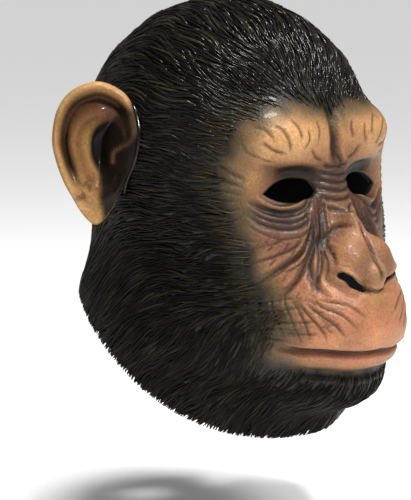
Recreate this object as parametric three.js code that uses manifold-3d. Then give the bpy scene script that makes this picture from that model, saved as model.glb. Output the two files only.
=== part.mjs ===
// A full-head chimpanzee mask, cast in latex: one hollow shell with brow, muzzle and nose,
// cut eye holes and nostrils, and an open neck, and two hollow-fronted ears glued on its sides.
// Millimetres, +Z up, the face looks along -Y. The origin is on the inside of the crown,
// where the wearer's head carries the mask.
import * as THREE from "three";
import { mergeVertices } from "three/addons/utils/BufferGeometryUtils.js";
import Module from "manifold-3d";

const wasm = await Module();
wasm.setup();

// Driving dimensions
const WALL = 2.4; // latex wall of the shell
const HEAD_WIDTH = 184; // across the hair, without the ears
const HEAD_LENGTH = 220; // forehead to back of the head
const CROWN_HEIGHT = 104; // widest level of the cranium to the top of the hair
const MASK_DROP = 288; // crown to the lowest point of the neck rim
const BACK_DROP = 200; // crown to the neck rim at the nape
const RIM_FRONT = 88; // where the rim stops falling, forward of the origin
const RIM_BACK = 87; // where it starts to fall, behind the origin
const MUZZLE_WIDTH = 108;
const MUZZLE_REACH = 154; // origin to the front of the lips
const MOUTH_DROP = 222; // crown to the line between the lips
const NOSE_WIDTH = 54;
const EYE_SPACING = 66; // between the centres of the eye holes
const EYE_DROP = 119;
const EYE_HOLE_WIDTH = 34;
const EYE_HOLE_HEIGHT = 14;
const NOSE_DROP = 176; // crown to the nostrils
const NOSTRIL_WIDTH = 17;
const NOSTRIL_HEIGHT = 4.6;
const NOSTRIL_SPACING = 33;
const NOSTRIL_TURN = 0.56; // slope of the slots, inner end low, in radians
const FOLD_WIDTH = 10; // from the middle of the widest fold of the face to its edge
const FOLD_DEPTH = 3; // of the deepest, the line between the lips
const EAR_HEIGHT = 95;
const EAR_REACH = 44; // root to outer rim, along the ear's blade
const EAR_THICKNESS = 4;
const EAR_CUP = 7; // how far the ear's rim stands forward of its middle
const EAR_FLOOR = 2.5; // least height of the ear's front over the head
const CONCHA_DEPTH = 13; // depth of the bowl
const HELIX_ROLL = 2.6; // height of the rolled rim
const EAR_DROP = 96; // crown to the middle of the ear's root
const EAR_BACK = 5; // root line behind the origin
const EAR_SWEEP = 0.7; // blade swept back from straight out, in radians
const GLUE_GAP = 0.3; // between an ear's root and the shell

const HALF_WIDTH = HEAD_WIDTH / 2;
const HALF_LENGTH = HEAD_LENGTH / 2;

// The masses that blend into the outer form. at is how far a mass lies to the side, forward
// and down from the crown, and half its half width, length and height, all as shares of the
// named sizes in unit. blend is the radius of the fillet that joins it to those before it, as a
// share of the unit's x.
// core is the share of a mass that the hollow inside follows, all of it where none is given:
// the latex is thick behind the nose.
const skullUnit = { x: HALF_WIDTH, y: HALF_LENGTH, z: MASK_DROP };
const eyeUnit = { x: EYE_SPACING / 2, y: HALF_LENGTH, z: EYE_DROP };
const muzzleUnit = { x: MUZZLE_WIDTH / 2, y: MUZZLE_REACH, z: MOUTH_DROP };
const noseUnit = { x: NOSE_WIDTH / 2, y: MUZZLE_REACH, z: NOSE_DROP };
const MASSES = [
  { name: "nape", unit: skullUnit, at: [0, -0.09, 0.785], half: [1.01, 0.964, 0.389], blend: 0.326 },
  { name: "jaw", unit: skullUnit, at: [0, 0.53, 0.71], half: [0.83, 0.54, 0.26], blend: 0.304 },
  { name: "cheek", unit: skullUnit, at: [0.46, 0.6, 0.52], half: [0.35, 0.22, 0.12], blend: 0.326 },
  { name: "brow", unit: eyeUnit, at: [0.9, 0.81, 0.69], half: [0.9, 0.205, 0.165], blend: 0.364 },
  { name: "brow_end", unit: eyeUnit, at: [1.48, 0.67, 0.75], half: [0.56, 0.16, 0.13], blend: 0.485 },
  { name: "socket_rim", unit: eyeUnit, at: [1.62, 0.69, 0.97], half: [0.33, 0.11, 0.2], blend: 0.424 },
  { name: "maxilla", unit: muzzleUnit, at: [0.333, 0.584, 0.738], half: [0.463, 0.2, 0.18], blend: 0.444 },
  { name: "muzzle", unit: muzzleUnit, at: [0, 0.662, 0.918], half: [1, 0.348, 0.2], blend: 0.37 },
  { name: "chin", unit: muzzleUnit, at: [0, 0.597, 1.1], half: [0.8, 0.305, 0.112], blend: 0.222 },
  { name: "nose_pad", unit: noseUnit, at: [0.37, 0.875, 0.94], half: [0.5, 0.095, 0.09], blend: 0.296, core: 0.78 },
  { name: "bridge", unit: noseUnit, at: [0, 0.65, 0.727], half: [0.36, 0.078, 0.148], blend: 0.37, core: 0 },
  { name: "ridge", unit: noseUnit, at: [0, 0.79, 0.886], half: [0.3, 0.11, 0.136], blend: 0.444, core: 0 },
  { name: "nose_wing", unit: noseUnit, at: [0.68, 0.857, 0.98], half: [0.33, 0.084, 0.055], blend: 0.222, core: 0 },
  { name: "nose_tip", unit: noseUnit, at: [0, 0.945, 0.985], half: [0.25, 0.052, 0.05], blend: 0.296, core: 0 },
];
// Hollows pressed back into the masses, with the same columns.
const HOLLOWS = [
  { name: "orbit", unit: eyeUnit, at: [1.03, 1.036, 0.96], half: [0.62, 0.136, 0.1], blend: 0.242 },
  { name: "nostril", unit: noseUnit, at: [0.556, 0.968, 1.02], half: [0.333, 0.045, 0.023], blend: 0.148 },
];
// Folds of the face, on both sides: each runs through three points, side as a share of the
// half width and down as a share of the mask's drop. width and depth are shares of the named
// fold sizes, and a negative depth raises a ridge.
const FOLDS = [
  { name: "mouth", points: [[0, MOUTH_DROP / MASK_DROP], [0.3, 0.773], [0.56, 0.767]], width: 0.6, depth: 1 },
  { name: "lower_lip", points: [[0, 0.803], [0.25, 0.803], [0.48, 0.795]], width: 0.9, depth: -0.7 },
  { name: "under_eye", points: [[0.18, 0.44], [0.4, 0.482], [0.64, 0.435]], width: 0.8, depth: 0.6 },
  { name: "cheek_fold", points: [[0.23, 0.47], [0.5, 0.56], [0.62, 0.67]], width: 1, depth: 0.7 },
  { name: "brow_furrow", points: [[0, 0.25], [0, 0.3], [0, 0.36]], width: 0.8, depth: 0.8 },
];

const CORES = MASSES.filter(({ core = 1 }) => core > 0).map(
  ({ core = 1, half, ...row }) => ({ ...row, half: half.map((share) => core * share) }),
);

// Signed distance, about true near the surface, from a point to an ellipsoid of a table row.
function massDistance(point, row) {
  const { unit, at, half } = row;
  const [wide, long, tall] = [half[0] * unit.x, half[1] * unit.y, half[2] * unit.z];
  const x = (Math.abs(point.x) - at[0] * unit.x) / wide;
  const y = (point.y + at[1] * unit.y) / long;
  const z = (point.z + at[2] * unit.z) / tall;
  const near = Math.sqrt(x * x + y * y + z * z);
  const slope = Math.sqrt((x / wide) ** 2 + (y / long) ** 2 + (z / tall) ** 2);
  return (near * (near - 1)) / (slope + 1e-9);
}

function blendedMin(a, b, row) {
  const radius = row.blend * row.unit.x;
  const share = THREE.MathUtils.clamp(0.5 + (0.5 * (b - a)) / radius, 0, 1);
  return b * (1 - share) + a * share - radius * share * (1 - share);
}

// The cranium's top is one wall above the origin.
const craniumUnit = { x: HALF_WIDTH, y: HALF_LENGTH, z: CROWN_HEIGHT };
const CRANIUM_DOWN = CROWN_HEIGHT - WALL;
const CRANIUM = { unit: craniumUnit, at: [0, 0, CRANIUM_DOWN / CROWN_HEIGHT], half: [1, 1, 1] };

function formDistance(point, masses = MASSES) {
  let distance = massDistance(point, CRANIUM);
  for (const row of masses) distance = blendedMin(distance, massDistance(point, row), row);
  for (const row of HOLLOWS) distance = -blendedMin(-distance, massDistance(point, row), row);
  return distance;
}

function formNormal(point) {
  const step = 0.8;
  const slope = (axis) => {
    const ahead = point.clone().setComponent(axis, point.getComponent(axis) + step);
    const behind = point.clone().setComponent(axis, point.getComponent(axis) - step);
    return formDistance(ahead) - formDistance(behind);
  };
  return new THREE.Vector3(slope(0), slope(1), slope(2)).normalize();
}

// Walks in along a ray from far outside to the first place inset below the form's surface.
function castToForm(from, direction, inset, masses) {
  let reach = 1.3 * (MUZZLE_REACH + HALF_LENGTH / 2);
  const point = new THREE.Vector3();
  for (let step = 0; step < 80; step += 1) {
    point.copy(from).addScaledVector(direction, reach);
    const distance = formDistance(point, masses) + inset;
    if (Math.abs(distance) < 0.002) break;
    reach -= 0.85 * distance;
  }
  return point;
}

// The neck rim is level at the nape, falls along the sides and is level again at the throat.
function rimHeight(y) {
  const fall = 1 - THREE.MathUtils.smoothstep(y, -RIM_FRONT, RIM_BACK);
  return -BACK_DROP - (MASK_DROP - BACK_DROP) * fall;
}

// A station is a level of the wrap: 0 the crown, 1 the cranium's widest level, 2 the mouth
// line, 3 the neck rim. From 0 to 1 the rays fan out from the cranium's centre, from 1 to 2
// they stay level as their foot goes down, and from 2 to 3 they tilt towards the rim.
const CENTRE_SHIFT = 0.195 * MUZZLE_REACH; // forward, at the mouth line
const NAPE_PIVOT = 0.86 * BACK_DROP;

function rayFoot(azimuth, station) {
  const frontness = THREE.MathUtils.smoothstep(0.5 + 0.5 * Math.cos(azimuth), 0, 1);
  const pivot = THREE.MathUtils.lerp(NAPE_PIVOT, MOUTH_DROP, frontness);
  const lowered = THREE.MathUtils.clamp(station - 1, 0, 1);
  const forward = CENTRE_SHIFT * THREE.MathUtils.smoothstep(station, 0.6, 2);
  return new THREE.Vector3(0, -forward, -THREE.MathUtils.lerp(CRANIUM_DOWN, pivot, lowered));
}

function rayDirection(azimuth, tilt) {
  return new THREE.Vector3(
    Math.sin(azimuth) * Math.cos(tilt),
    -Math.cos(azimuth) * Math.cos(tilt),
    Math.sin(tilt),
  );
}

const rimTilts = new Map();
function rimTilt(azimuth) {
  const key = azimuth.toFixed(3);
  if (rimTilts.has(key)) return rimTilts.get(key);
  const foot = rayFoot(azimuth, 2);
  let [low, high] = [-1.4, 0.5];
  for (let step = 0; step < 16; step += 1) {
    const middle = (low + high) / 2;
    const point = castToForm(foot, rayDirection(azimuth, middle), 0, MASSES);
    if (point.z < rimHeight(point.y)) low = middle;
    else high = middle;
  }
  rimTilts.set(key, (low + high) / 2);
  return rimTilts.get(key);
}

// Depth of the folds at a point of the face, from its distance to each fold seen from in front.
const foldCurves = FOLDS.map((row) => {
  const [start, middle, end] = row.points.map(
    ([side, down]) => new THREE.Vector2(side * HALF_WIDTH, -down * MASK_DROP),
  );
  return { ...row, line: new THREE.SplineCurve([start, middle, end]).getPoints(12) };
});

function foldDepth(point) {
  if (point.y > 0) return 0;
  const seen = new THREE.Vector2(Math.abs(point.x), point.z);
  let depth = 0;
  for (const fold of foldCurves) {
    const gap = Math.min(...fold.line.map((spot) => spot.distanceTo(seen)));
    const away = Math.min(1, gap / (fold.width * FOLD_WIDTH));
    depth += fold.depth * FOLD_DEPTH * (1 - away ** 2) ** 2;
  }
  return depth;
}

function skinPoint(azimuth, station, { inset, masses }) {
  const tilt =
    station < 1
      ? ((1 - station) * Math.PI) / 2
      : THREE.MathUtils.clamp(station - 2, 0, 1) * rimTilt(azimuth);
  const point = castToForm(rayFoot(azimuth, station), rayDirection(azimuth, tilt), inset, masses);
  return point.addScaledVector(formNormal(point), -foldDepth(point));
}

// Rows of the wrap, from the crown to the rim: the share of rows spent by each station.
const ROW_STOPS = [
  { rows: 0, station: 0 },
  { rows: 0.18, station: 0.76 },
  { rows: 0.75, station: 1.96 },
  { rows: 0.78, station: 2 },
  { rows: 0.81, station: 2.06 },
  { rows: 1, station: 3 },
];
function stationAt(share) {
  const next = Math.max(1, ROW_STOPS.findIndex((stop) => stop.rows >= share - 1e-9));
  const [from, to] = [ROW_STOPS[next - 1], ROW_STOPS[next]];
  return THREE.MathUtils.mapLinear(share, from.rows, to.rows, from.station, to.station);
}

const OUTSIDE = { columns: 78, rows: 41, inset: 0, masses: MASSES };
const GROWN = { ...OUTSIDE, inset: -GLUE_GAP };
const INSIDE = { columns: 50, rows: 28, inset: WALL, masses: CORES };
const FRONT_SPREAD = 0.36; // below 1, columns crowd towards the face
function azimuthAt(u) {
  const turn = 2 * u - 1;
  return Math.PI * (FRONT_SPREAD * turn + (1 - FRONT_SPREAD) * turn ** 3);
}

// A sheet of columns by rows whose corners are each put in place by where(u, v).
function wrappedSheet(columns, rows, where) {
  const sheet = new THREE.PlaneGeometry(1, 1, columns, rows);
  const { position } = sheet.attributes;
  for (let i = 0; i < position.count; i += 1) {
    const spot = where(position.getX(i) + 0.5, 0.5 - position.getY(i));
    position.setXYZ(i, spot.x, spot.y, spot.z);
  }
  return sheet;
}

// Turns a closed three.js geometry into a solid: only its positions count, merged.
function solidFrom(geometry) {
  const bare = geometry.clone();
  bare.deleteAttribute("normal");
  bare.deleteAttribute("uv");
  const merged = mergeVertices(bare, 1e-3);
  const corners = [];
  for (let i = 0; i < merged.index.count; i += 3) {
    const [a, b, c] = [0, 1, 2].map((k) => merged.index.getX(i + k));
    if (a !== b && b !== c && c !== a) corners.push(a, b, c);
  }
  return new wasm.Manifold(
    new wasm.Mesh({
      numProp: 3,
      vertProperties: merged.attributes.position.array,
      triVerts: new Uint32Array(corners),
    }),
  );
}

function geometryFrom(solid) {
  const mesh = solid.getMesh();
  return new THREE.BufferGeometry()
    .setAttribute("position", new THREE.BufferAttribute(mesh.vertProperties, 3))
    .setIndex(new THREE.BufferAttribute(mesh.triVerts, 1));
}

// The head's form as a filled solid, let down past the rim by drop.
function filledForm(skin, drop) {
  const { columns, rows } = skin;
  const floor = new THREE.Vector3(0, -CENTRE_SHIFT, -(BACK_DROP + MASK_DROP) / 2 - drop);
  const sheet = wrappedSheet(columns, rows + 2, (u, v) => {
    const row = Math.round(v * (rows + 2));
    if (row > rows + 1) return floor;
    const spot = skinPoint(azimuthAt(u), stationAt(Math.min(1, row / rows)), skin);
    if (row > rows) spot.z -= drop;
    return spot;
  });
  return solidFrom(sheet);
}

// A hole's outline, drawn as seen from in front, cut through the face from start forwards.
function holeCutter(outline, side, drop, start, turn) {
  const cutter = new THREE.ExtrudeGeometry(outline, {
    depth: MUZZLE_REACH,
    bevelEnabled: false,
    curveSegments: 7,
  });
  cutter.rotateZ(turn).rotateX(Math.PI / 2).translate(side, -start, -drop);
  return solidFrom(cutter);
}

// An eye hole: pointed at its outer corner, blunt by the nose. mirror is 1 or -1.
function eyeOutline(mirror) {
  const [w, h] = [(mirror * EYE_HOLE_WIDTH) / 2, EYE_HOLE_HEIGHT / 2];
  const outline = new THREE.Shape();
  outline.moveTo(w, -0.2 * h);
  outline.bezierCurveTo(0.6 * w, 0.75 * h, 0.1 * w, 1.25 * h, -0.55 * w, 1.0 * h);
  outline.bezierCurveTo(-0.85 * w, 0.9 * h, -1.1 * w, 0.4 * h, -w, -0.1 * h);
  outline.bezierCurveTo(-0.8 * w, -0.95 * h, 0.35 * w, -1.5 * h, w, -0.2 * h);
  return outline;
}

function nostrilOutline() {
  const [w, r] = [NOSTRIL_WIDTH / 2, NOSTRIL_HEIGHT / 2];
  const outline = new THREE.Shape();
  outline.absarc(w - r, 0, r, -Math.PI / 2, Math.PI / 2);
  outline.absarc(r - w, 0, r, Math.PI / 2, 1.5 * Math.PI);
  return outline;
}

function maskShell() {
  let shell = filledForm(OUTSIDE, 0).subtract(filledForm(INSIDE, 4 * WALL));
  for (const mirror of [-1, 1]) {
    const eye = holeCutter(
      eyeOutline(mirror), (mirror * EYE_SPACING) / 2, EYE_DROP, 0.5 * HALF_LENGTH, 0,
    );
    const nostril = holeCutter(
      nostrilOutline(), (mirror * NOSTRIL_SPACING) / 2, NOSE_DROP, 0.7 * MUZZLE_REACH, mirror * NOSTRIL_TURN,
    );
    shell = shell.subtract(eye).subtract(nostril);
  }
  return shell;
}

// Outline of the ear's blade, counted round from the outer edge. out is a share of the ear's
// reach and up a share of its half height. The last half runs along the head.
const EAR_OUTLINE = [
  { out: 1, up: 0.2 },
  { out: 0.92, up: 0.56 },
  { out: 0.71, up: 0.82 },
  { out: 0.36, up: 0.95 },
  { out: 0.06, up: 0.87 },
  { out: -0.17, up: 0.68 },
  { out: -0.29, up: 0.31 },
  { out: -0.21, up: -0.1 },
  { out: -0.05, up: -0.53 },
  { out: 0.14, up: -0.86 },
  { out: 0.34, up: -1.04 },
  { out: 0.53, up: -0.92 },
  { out: 0.7, up: -0.67 },
  { out: 0.85, up: -0.41 },
  { out: 0.97, up: -0.07 },
];
const EAR_CENTRE = new THREE.Vector3(0.28 * EAR_REACH, 0, 0);
const EAR_SLICES = 32;

// Rows of the ear from the bottom of the bowl out to the rim and round to the back. reach is
// the share of the way to the outline, roll lifts the fold and the helix and sinks the groove.
const EAR_ROWS = [
  { reach: 0, back: false, roll: 0 },
  { reach: 0.22, back: false, roll: 0 },
  { reach: 0.4, back: false, roll: 0.2 },
  { reach: 0.52, back: false, roll: 0.9 },
  { reach: 0.62, back: false, roll: 0.6 },
  { reach: 0.74, back: false, roll: -1.1 },
  { reach: 0.83, back: false, roll: -0.4 },
  { reach: 0.89, back: false, roll: 1 },
  { reach: 0.95, back: false, roll: 1.3 },
  { reach: 1, back: false, roll: 0.6 },
  { reach: 1, back: true, roll: 0.4 },
  { reach: 0.9, back: true, roll: 0 },
  { reach: 0.62, back: true, roll: 0 },
  { reach: 0, back: true, roll: 0 },
];

// The blade lies in its own plane: x out from the root, y up, z the way the ear faces.
function bladePoint(edge, row) {
  const spot = new THREE.Vector3().lerpVectors(EAR_CENTRE, edge, row.reach);
  const aboveLobe = THREE.MathUtils.smoothstep(edge.y, -0.42 * EAR_HEIGHT, -0.12 * EAR_HEIGHT);
  const bowl = 1 - THREE.MathUtils.smoothstep(row.reach, 0.12, 0.56);
  spot.z = EAR_CUP * row.reach ** 2 + HELIX_ROLL * aboveLobe * row.roll - CONCHA_DEPTH * bowl;
  if (row.back) spot.z -= EAR_THICKNESS;
  return spot;
}

// side is -1 for the mask's right ear and 1 for its left one. The ear's front is kept off the
// head by the root's floor, its back runs in, and what lies inside the grown head is cut off.
function earSolid(side, head) {
  const out = new THREE.Vector3(Math.cos(EAR_SWEEP), Math.sin(EAR_SWEEP), 0);
  const up = new THREE.Vector3(0, 0, 1);
  const facing = out.clone().cross(up);
  const place = new THREE.Matrix4().makeBasis(out, up, facing);
  place.setPosition(HALF_WIDTH - 1, EAR_BACK, -EAR_DROP);
  const outline = new THREE.CatmullRomCurve3(
    EAR_OUTLINE.map(({ out, up }) => new THREE.Vector3(out * EAR_REACH, (up * EAR_HEIGHT) / 2, 0)),
    true,
  );
  const rows = EAR_ROWS.length - 1;
  const skin = wrappedSheet(EAR_SLICES, rows, (u, v) => {
    const row = EAR_ROWS[Math.round(v * rows)];
    const spot = bladePoint(outline.getPoint(u % 1), row).applyMatrix4(place);
    for (let step = 0; step < 5 && !row.back; step += 1) {
      const short = Math.max(0, EAR_FLOOR - formDistance(spot));
      spot.addScaledVector(facing, 1.5 * short);
    }
    return spot;
  });
  const blade = side < 0 ? solidFrom(skin).mirror([1, 0, 0]) : solidFrom(skin);
  const pieces = blade.subtract(head).decompose();
  return pieces.reduce((largest, piece) => (piece.volume() > largest.volume() ? piece : largest));
}

const hairLatex = new THREE.MeshStandardMaterial({ color: 0x17140f, roughness: 0.38, metalness: 0 });
const skinLatex = new THREE.MeshStandardMaterial({ color: 0xb98449, roughness: 0.42, metalness: 0 });

function named(name, solid, material) {
  const mesh = new THREE.Mesh(geometryFrom(solid), material);
  mesh.name = name;
  return mesh;
}

const head = filledForm(GROWN, 0);
const mask = new THREE.Group();
mask.name = "chimpanzee_mask";
mask.add(named("mask_shell", maskShell(), hairLatex));
mask.add(named("ear_right", earSolid(-1, head), skinLatex));
mask.add(named("ear_left", earSolid(1, head), skinLatex));

export default mask;
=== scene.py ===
# %% [markdown]
# # A full-head chimpanzee mask, cast in latex
#
# The real mask is one hollow shell of latex, poured into a plaster mould and painted with an
# airbrush. Wrinkles and hair are pressed into it by the mould. Two ears are cast apart and
# glued on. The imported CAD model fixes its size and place, and this script dresses it.

import math

import bmesh
import bpy
import numpy as np
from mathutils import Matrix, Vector


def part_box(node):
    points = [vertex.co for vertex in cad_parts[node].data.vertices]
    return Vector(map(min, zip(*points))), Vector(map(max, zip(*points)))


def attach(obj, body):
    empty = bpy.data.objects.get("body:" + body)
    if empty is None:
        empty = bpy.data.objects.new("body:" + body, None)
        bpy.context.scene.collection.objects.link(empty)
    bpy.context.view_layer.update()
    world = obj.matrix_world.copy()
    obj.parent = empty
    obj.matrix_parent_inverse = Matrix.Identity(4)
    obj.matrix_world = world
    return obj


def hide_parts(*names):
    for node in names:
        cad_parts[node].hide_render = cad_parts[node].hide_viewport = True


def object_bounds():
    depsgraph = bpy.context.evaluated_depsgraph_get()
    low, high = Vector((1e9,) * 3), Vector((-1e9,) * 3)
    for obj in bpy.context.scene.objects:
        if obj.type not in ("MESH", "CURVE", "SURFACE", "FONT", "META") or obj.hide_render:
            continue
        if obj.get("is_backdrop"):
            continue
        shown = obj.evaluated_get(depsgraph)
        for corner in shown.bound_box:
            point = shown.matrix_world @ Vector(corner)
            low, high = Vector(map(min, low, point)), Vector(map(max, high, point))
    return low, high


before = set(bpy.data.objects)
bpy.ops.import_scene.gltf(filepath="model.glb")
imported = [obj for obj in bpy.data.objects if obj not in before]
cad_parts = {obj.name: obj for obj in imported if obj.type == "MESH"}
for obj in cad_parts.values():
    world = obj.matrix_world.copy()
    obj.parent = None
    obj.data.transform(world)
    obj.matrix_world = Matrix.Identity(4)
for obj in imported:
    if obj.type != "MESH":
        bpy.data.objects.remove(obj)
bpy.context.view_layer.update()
print("nodes:", sorted(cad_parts))

# %% [markdown]
# ## Sizes
#
# The shapes below are worked out in millimetres, with the names of the CAD model's own sizes.
# They could be typed in metres, but a face is easier to read in millimetres. The last value
# stretches them to the shell that was really packed, so the dressing follows the frame.

# %% Named sizes
WALL = 2.4
HALF_WIDTH = 92.0
HALF_LENGTH = 110.0
CROWN_HEIGHT = 104.0
MASK_DROP = 288.0
BACK_DROP = 200.0
RIM_FRONT = 88.0
RIM_BACK = 87.0
MUZZLE_HALF = 54.0
MUZZLE_REACH = 154.0
MOUTH_DROP = 222.0
NOSE_HALF = 27.0
EYE_SIDE = 33.0
EYE_DROP = 119.0
EYE_HOLE = (17.0, 7.0)
NOSE_DROP = 176.0
NOSTRIL_SIDE = 16.5
NOSTRIL_HALF = (10.6, 2.0)
NOSTRIL_TURN = 0.56
FACE_AXIS = 40.0
MODELLED_SIZE = np.array([185.46, 268.46, 290.09])

shell_low, shell_high = (np.array(corner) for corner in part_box("mask_shell"))
STRETCH = (shell_high - shell_low) / MODELLED_SIZE
MM = 0.001
print("stretch from millimetres:", np.round(STRETCH * 1000, 4))

# %% [markdown]
# ## The bare form of the head
#
# A sculptor starts with big lumps of clay and blends them. The same can be done with
# ellipsoids whose distance fields are blended, which gives one smooth surface with no seams.
# Subdividing a cage by hand could do it too, but the field also tells how far any point is
# from the skin, and hair, ears and glue need that later. Each row is a lump: the unit that it
# is measured in, its place (side, forward, down), its half sizes and how softly it blends.

# %% Lumps and hollows of the head
SKULL = (HALF_WIDTH, HALF_LENGTH, MASK_DROP)
EYE = (EYE_SIDE, HALF_LENGTH, EYE_DROP)
MUZZLE = (MUZZLE_HALF, MUZZLE_REACH, MOUTH_DROP)
NOSE = (NOSE_HALF, MUZZLE_REACH, NOSE_DROP)
LUMPS = [
    ("cranium", SKULL, (0, 0, (CROWN_HEIGHT - WALL) / MASK_DROP), (1, 1, CROWN_HEIGHT / MASK_DROP), 0, 1),
    ("nape", SKULL, (0, -0.09, 0.785), (1.01, 0.964, 0.389), 0.326, 1),
    ("jaw", SKULL, (0, 0.53, 0.71), (0.83, 0.54, 0.26), 0.304, 1),
    ("cheek", SKULL, (0.46, 0.6, 0.52), (0.35, 0.22, 0.12), 0.326, 1),
    ("brow", EYE, (0.9, 0.81, 0.69), (0.9, 0.205, 0.165), 0.364, 1),
    ("brow_end", EYE, (1.48, 0.67, 0.75), (0.56, 0.16, 0.13), 0.485, 1),
    ("socket_rim", EYE, (1.62, 0.69, 0.97), (0.33, 0.11, 0.2), 0.424, 1),
    ("maxilla", MUZZLE, (0.333, 0.584, 0.738), (0.463, 0.2, 0.18), 0.444, 1),
    ("muzzle", MUZZLE, (0, 0.662, 0.918), (1, 0.348, 0.2), 0.37, 1),
    ("chin", MUZZLE, (0, 0.597, 1.1), (0.8, 0.305, 0.112), 0.222, 1),
    ("nose_pad", NOSE, (0.37, 0.875, 0.94), (0.5, 0.095, 0.09), 0.296, 0.78),
    ("bridge", NOSE, (0, 0.65, 0.727), (0.36, 0.078, 0.148), 0.37, 0),
    ("ridge", NOSE, (0, 0.79, 0.886), (0.3, 0.11, 0.136), 0.444, 0),
    ("nose_wing", NOSE, (0.68, 0.857, 0.98), (0.33, 0.084, 0.055), 0.222, 0),
    ("nose_tip", NOSE, (0, 0.945, 0.985), (0.25, 0.052, 0.05), 0.296, 0),
]
HOLLOWS = [
    ("orbit", EYE, (1.03, 1.036, 0.96), (0.62, 0.136, 0.1), 0.242, 1),
    ("nostril", NOSE, (0.556, 0.968, 1.02), (0.333, 0.045, 0.023), 0.148, 1),
]


def in_millimetres(rows, inner=False):
    """Centre, half sizes and blend of each row; inner keeps what shapes the inner wall."""
    found = []
    for _, unit, at, half, blend, core in rows:
        if inner and core == 0:
            continue
        unit = np.array(unit)
        centre = unit * at * (1, -1, -1)
        found.append((centre, unit * half * (core if inner else 1), blend * unit[0]))
    return found


OUTER = (in_millimetres(LUMPS), in_millimetres(HOLLOWS))
INNER = (in_millimetres(LUMPS, inner=True), in_millimetres(HOLLOWS))
print(len(LUMPS), "lumps and", len(HOLLOWS), "hollows")

# %% Distance to the form, its normals and rays cast to it


def lump_distance(points, centre, half):
    """Signed distance to one ellipsoid on both sides of the face, about true near its skin."""
    share = points.copy()
    share[:, 0] = np.abs(share[:, 0])
    share = (share - centre) / half
    near = np.sqrt(np.einsum("ij,ij->i", share, share))
    share /= half
    slope = np.sqrt(np.einsum("ij,ij->i", share, share)) + 1e-9
    return near * (near - 1) / slope


def soft_least(a, b, blend):
    if blend == 0:
        return np.minimum(a, b)
    share = np.clip(0.5 + 0.5 * (b - a) / blend, 0, 1)
    return b + (a - b) * share - blend * share * (1 - share)


CHUNK = 6000


def form_distance(points, form=OUTER):
    """How far points are outside the form's skin, in millimetres, below 0 inside it."""
    lumps, hollows = form
    found = np.empty(len(points))
    for start in range(0, len(points), CHUNK):
        some = points[start : start + CHUNK]
        nearest = lump_distance(some, *lumps[0][:2])
        for centre, half, blend in lumps[1:]:
            nearest = soft_least(nearest, lump_distance(some, centre, half), blend)
        for centre, half, blend in hollows:
            nearest = -soft_least(-nearest, lump_distance(some, centre, half), blend)
        found[start : start + CHUNK] = nearest
    return found


def form_normal(points, form=OUTER, step=0.8):
    slope = np.empty_like(points)
    for axis in range(3):
        nudge = np.zeros(3)
        nudge[axis] = step
        slope[:, axis] = form_distance(points + nudge, form) - form_distance(points - nudge, form)
    return slope / np.linalg.norm(slope, axis=1, keepdims=True)


def cast_to_form(feet, ways, inset=0.0, form=OUTER):
    """Walks in along each ray from far outside to the first place inset below the skin."""
    feet, ways = np.broadcast_arrays(feet, ways)
    reach = np.full(len(feet), 1.3 * (MUZZLE_REACH + HALF_LENGTH / 2))
    left = np.arange(len(feet))
    for _ in range(80):
        gap = form_distance(feet[left] + ways[left] * reach[left, None], form) + inset
        reach[left] -= 0.85 * gap
        left = left[np.abs(gap) > 0.004]
        if len(left) == 0:
            break
    return feet + ways * reach[:, None]


top = cast_to_form(np.array([[0.0, 0.0, -100.0]]), np.array([[0.0, 0.0, 1.0]]))
print("crown at z", round(float(top[0, 2]), 2), "mm; the frame has", round(shell_high[2] * 1000, 2))

# %% [markdown]
# ## Wrapping a sheet round the head
#
# A sheet of latex wraps the form from the crown to the neck rim. Its columns are turns about
# the head and its rows are levels, called stations: 0 the crown, 1 the widest level, 2 the
# mouth, 3 the rim. A plain sphere would be simpler, but its rays would miss the hollows
# under the muzzle. Columns and rows are spread so that the face gets the smallest faces.

# %% Rays by turn and station


def lerp(a, b, share):
    return a + (b - a) * share


def smoothstep(value, low, high):
    share = np.clip((value - low) / (high - low), 0, 1)
    return share * share * (3 - 2 * share)


def rim_height(y):
    """The neck rim is level at the nape, falls along the sides and is level at the throat."""
    return -BACK_DROP - (MASK_DROP - BACK_DROP) * (1 - smoothstep(y, -RIM_FRONT, RIM_BACK))


def ray_foot(turn, station):
    frontness = smoothstep(0.5 + 0.5 * np.cos(turn), 0, 1)
    pivot = lerp(0.86 * BACK_DROP, MOUTH_DROP, frontness)
    down = lerp(CROWN_HEIGHT - WALL, pivot, np.clip(station - 1, 0, 1))
    forward = 0.195 * MUZZLE_REACH * smoothstep(station, 0.6, 2)
    return np.stack([0 * turn, -forward, -down], axis=1)


def ray_way(turn, tilt):
    flat = np.cos(tilt)
    return np.stack([np.sin(turn) * flat, -np.cos(turn) * flat, np.sin(tilt)], axis=1)


def find_rim_tilts():
    """The tilt below level at which a ray from the mouth's level meets the rim, by turn."""
    turn = np.linspace(-math.pi, math.pi, 181)
    low, high = np.full(181, -1.4), np.full(181, 0.5)
    for _ in range(16):
        middle = (low + high) / 2
        point = cast_to_form(ray_foot(turn, 2 + 0 * turn), ray_way(turn, middle))
        below = point[:, 2] < rim_height(point[:, 1])
        low, high = np.where(below, middle, low), np.where(below, high, middle)
    return turn, (low + high) / 2


RIM_TILTS = find_rim_tilts()


def skin_at(turn, station, inset=0.0, form=OUTER):
    rim = np.interp((turn + math.pi) % (2 * math.pi) - math.pi, *RIM_TILTS)
    tilt = np.where(station < 1, (1 - station) * math.pi / 2, np.clip(station - 2, 0, 1) * rim)
    return cast_to_form(ray_foot(turn, station), ray_way(turn, tilt), inset, form)


# Rows: small between the top of the brow and the chin, larger over the crown and the throat.
FACE_TOP, FACE_FOOT = -58.0, -252.0


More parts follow.
